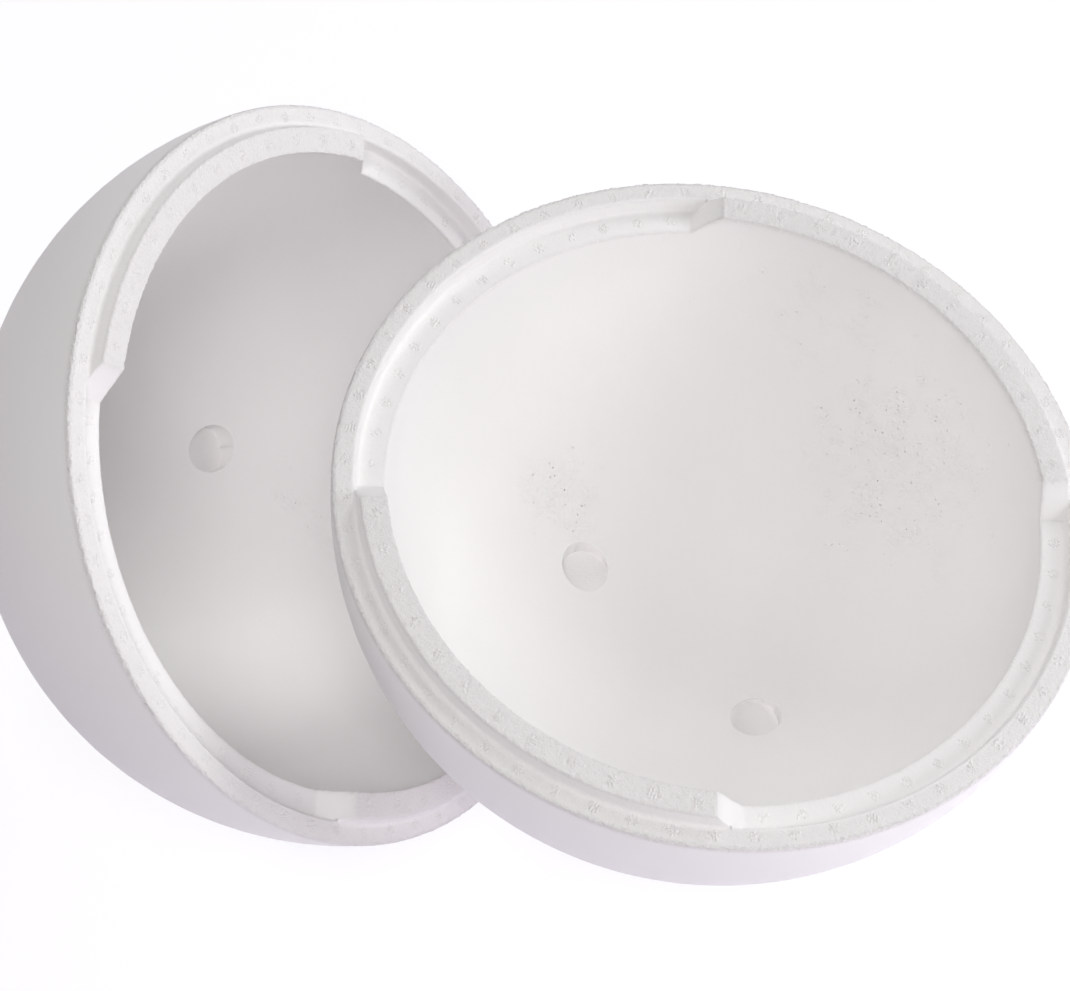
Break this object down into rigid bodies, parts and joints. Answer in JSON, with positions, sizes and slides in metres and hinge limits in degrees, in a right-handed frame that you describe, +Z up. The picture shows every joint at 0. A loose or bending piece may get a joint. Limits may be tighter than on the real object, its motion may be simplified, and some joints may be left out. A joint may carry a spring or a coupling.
{
  "type": "hollow polystyrene ball in two halves",
  "caption": "Hollow foam ball opened into its two half shells, whose stepped rims have tongues and rebates that plug together to close the ball.",
  "frame": {"origin": "middle of the pair's footprint box, on the surface that both round backs stand on", "axes": "+X from the back half's centre to the front half's centre, +Z up; +X is the longest extent"},
  "size_m": [0.7386, 0.4998, 0.4778],
  "materials": {
    "front_foam": "near-white expanded polystyrene foam, matt, with fine bead grain and small pits",
    "back_foam": "near-white expanded polystyrene foam, matt, with fine bead grain and small pits"
  },
  "bodies": {
    "root": {"front_half": "front_foam", "back_half": "back_foam"}
  },
  "joints": []
}
